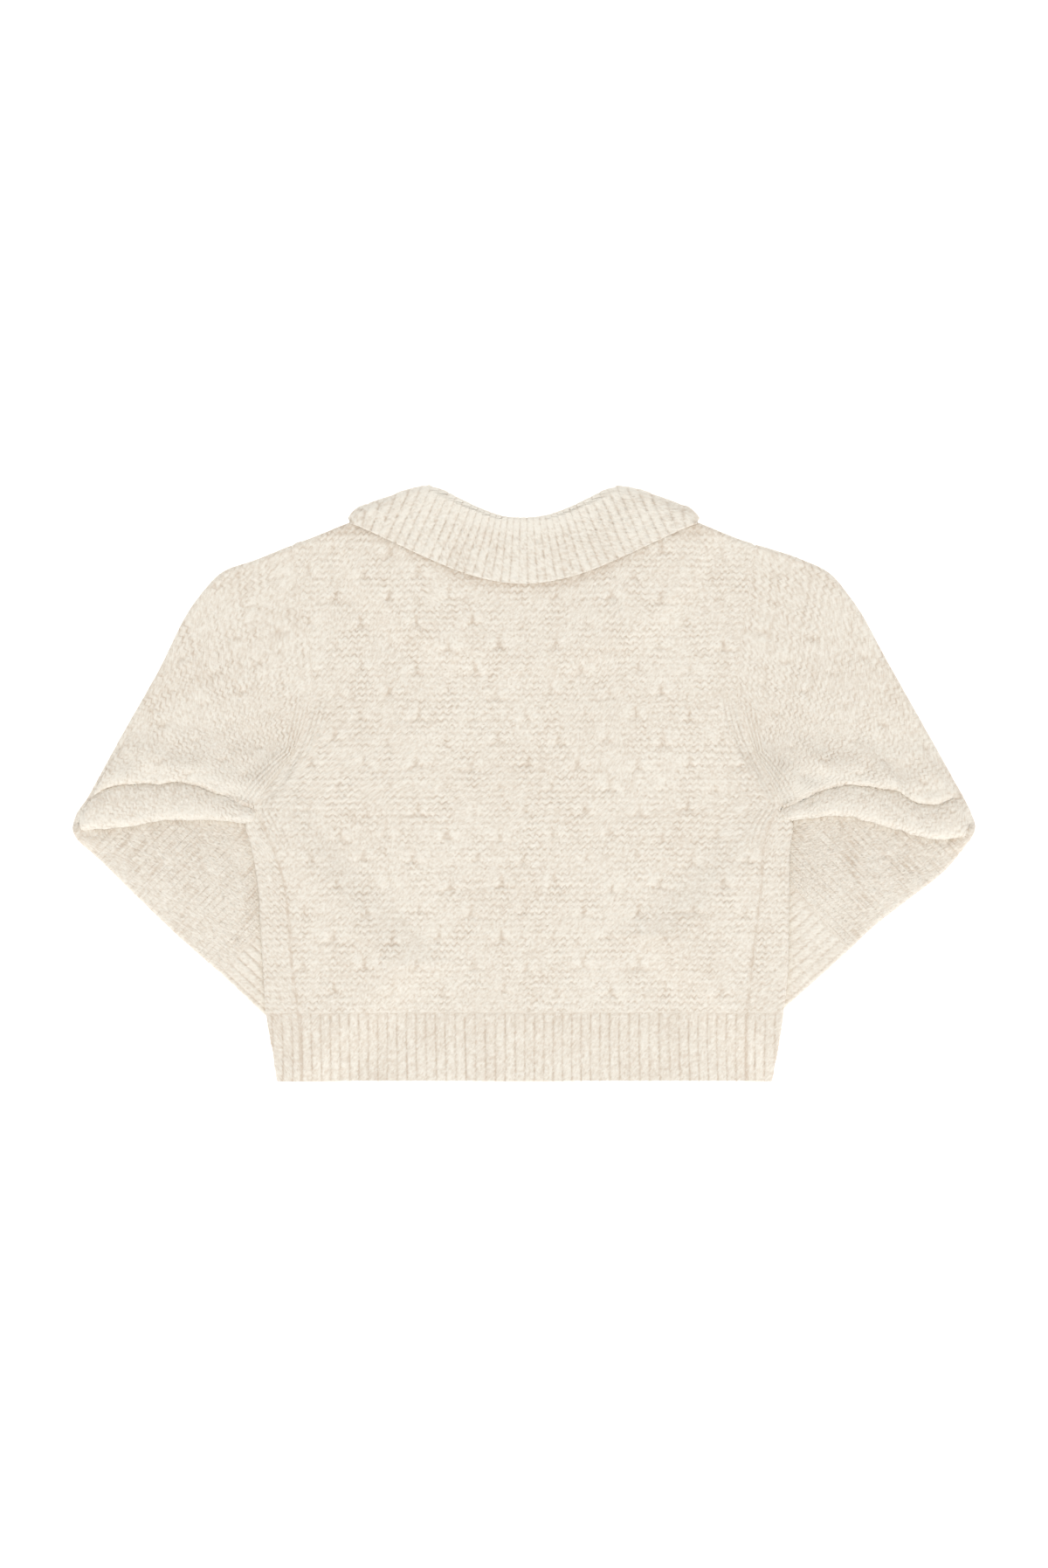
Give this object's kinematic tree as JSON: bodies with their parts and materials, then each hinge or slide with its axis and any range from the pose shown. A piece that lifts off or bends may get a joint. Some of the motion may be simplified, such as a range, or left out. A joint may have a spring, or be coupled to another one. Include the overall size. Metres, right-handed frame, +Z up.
{
  "type": "cardigan",
  "caption": "Cropped chunky-knit cardigan laid flat with its back up, with a wide ribbed turn-down collar, ribbed hem and cuffs, and forearms tucked under its sides.",
  "frame": {"origin": "centre of the laid-out garment's outline, on the surface it lies on", "axes": "+X across the garment towards the wearer's right, +Y from hem to neck, +Z up out of the surface, so the back faces +Z"},
  "size_m": [0.8594, 0.5662, 0.0165],
  "materials": {
    "patterned_knit": "brushed cream wool-blend knit with small dark V marks",
    "ribbed_knit": "brushed cream wool-blend rib",
    "buttons": "satin horn-coloured plastic"
  },
  "bodies": {
    "root": {"back": "patterned_knit", "front_left": "patterned_knit", "front_right": "patterned_knit", "sleeve_left": "patterned_knit", "sleeve_right": "patterned_knit", "cuff_left": "ribbed_knit", "cuff_right": "ribbed_knit", "hem_back": "ribbed_knit", "hem_front_left": "ribbed_knit", "hem_front_right": "ribbed_knit", "collar": "ribbed_knit", "band_left": "ribbed_knit", "band_right": "ribbed_knit", "button_1": "buttons", "button_2": "buttons", "button_3": "buttons", "button_4": "buttons", "button_5": "buttons"}
  },
  "joints": []
}
